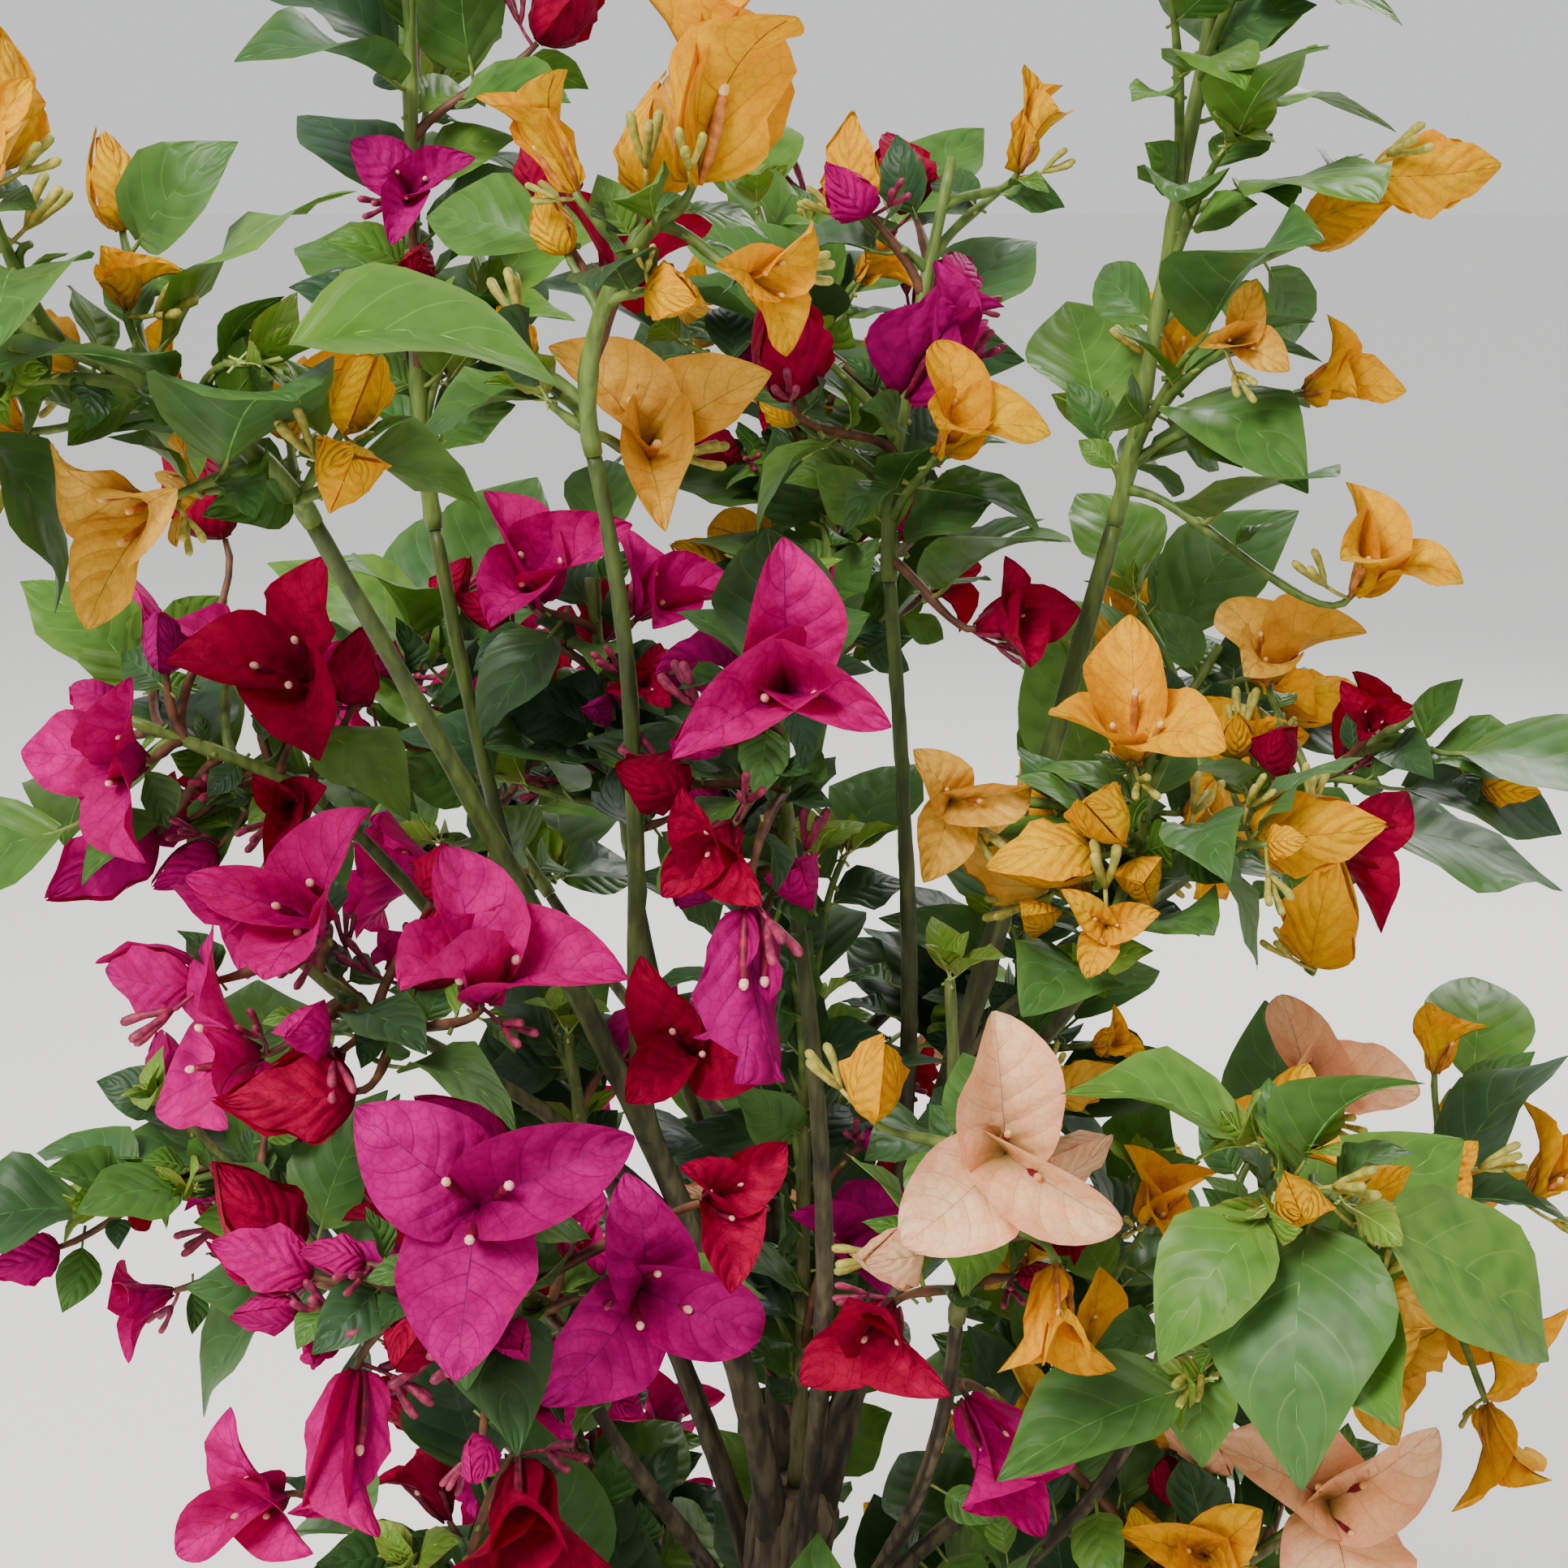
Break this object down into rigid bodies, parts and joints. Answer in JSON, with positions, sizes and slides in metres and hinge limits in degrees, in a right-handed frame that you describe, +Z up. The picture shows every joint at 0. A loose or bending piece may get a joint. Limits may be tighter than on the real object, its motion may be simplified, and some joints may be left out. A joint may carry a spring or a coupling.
{
  "type": "bougainvillea bush",
  "caption": "Rooted garden shrub: a short flared woody trunk forks into slim boughs that carry sprays of heart-shaped leaves and papery bracted blossom.",
  "frame": {"origin": "middle of the flat cut under the trunk, at ground level", "axes": "+Z up, +X to the viewer's right in the picture, +Y away from the viewer"},
  "size_m": [0.4646, 0.4358, 0.7283],
  "materials": {
    "bark": "matt living bark",
    "magenta_blossom": "papery magenta and crimson bracts among green leaves",
    "gold_blossom": "papery orange-gold bracts among green leaves",
    "peach_blossom": "papery peach bracts among green leaves",
    "leaves": "satin green leaves"
  },
  "bodies": {
    "root": {"trunk": "bark", "bough_back": "bark", "bough_back_east": "bark", "bough_back_west": "bark", "bough_centre": "bark", "bough_crest": "bark", "bough_east": "bark", "bough_gold": "bark", "bough_heart_front": "bark", "bough_heart_left": "bark", "bough_heart_right": "bark", "bough_inner": "bark", "bough_leader": "bark", "bough_leafy": "bark", "bough_left": "bark", "bough_magenta_high": "bark", "bough_magenta_low": "bark", "bough_outer": "bark", "bough_peach": "bark", "bough_right": "bark", "bough_top": "bark", "bough_west": "bark", "bough_west_low": "bark", "foliage_back_east": "gold_blossom", "foliage_back_low_east": "gold_blossom", "foliage_back_low_west": "magenta_blossom", "foliage_back_middle": "peach_blossom", "foliage_back_top": "magenta_blossom", "foliage_back_west": "magenta_blossom", "foliage_centre": "magenta_blossom", "foliage_crest": "gold_blossom", "foliage_east": "gold_blossom", "foliage_gold": "gold_blossom", "foliage_heart": "leaves", "foliage_heart_front": "leaves", "foliage_heart_left": "leaves", "foliage_heart_right": "leaves", "foliage_leafy": "leaves", "foliage_left_arch": "gold_blossom", "foliage_left_leader": "magenta_blossom", "foliage_magenta_high": "magenta_blossom", "foliage_magenta_low": "magenta_blossom", "foliage_north_west": "magenta_blossom", "foliage_outer": "gold_blossom", "foliage_peach": "peach_blossom", "foliage_right_leader": "leaves", "foliage_south": "leaves", "foliage_south_east": "peach_blossom", "foliage_south_west": "magenta_blossom", "foliage_top": "magenta_blossom", "foliage_west": "magenta_blossom", "foliage_west_low": "magenta_blossom"}
  },
  "joints": []
}
